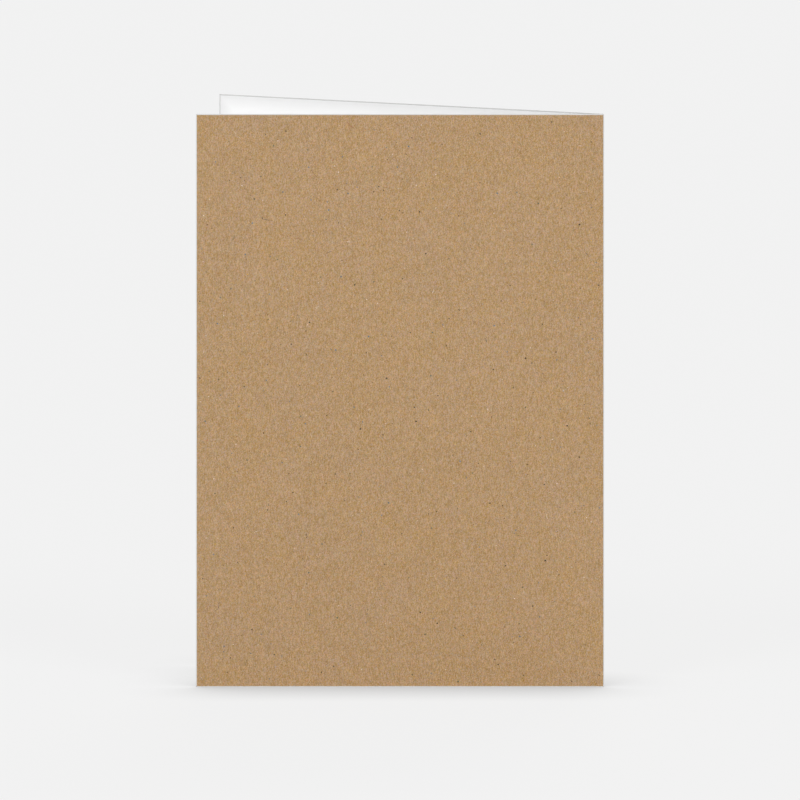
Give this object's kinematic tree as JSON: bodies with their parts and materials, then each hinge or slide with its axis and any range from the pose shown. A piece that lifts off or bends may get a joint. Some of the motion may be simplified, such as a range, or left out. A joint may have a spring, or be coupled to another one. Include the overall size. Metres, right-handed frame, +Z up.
{
  "type": "greeting card",
  "caption": "Blank portrait greeting card of white-lined brown board, folded down its long side and standing slightly open.",
  "frame": {"origin": "middle of the card's outline box, on the surface that the card stands on", "axes": "+Z up along the fold; the front leaf faces -Y; the fold stands at +X and the free edges are at -X"},
  "size_m": [0.148, 0.0502, 0.21],
  "materials": {
    "lined_board": "uncoated brown kraft outer face with fine mottle and dark specks; smooth matt white lining inside; pale cut edges"
  },
  "bodies": {
    "root": {"card": "lined_board"}
  },
  "joints": []
}
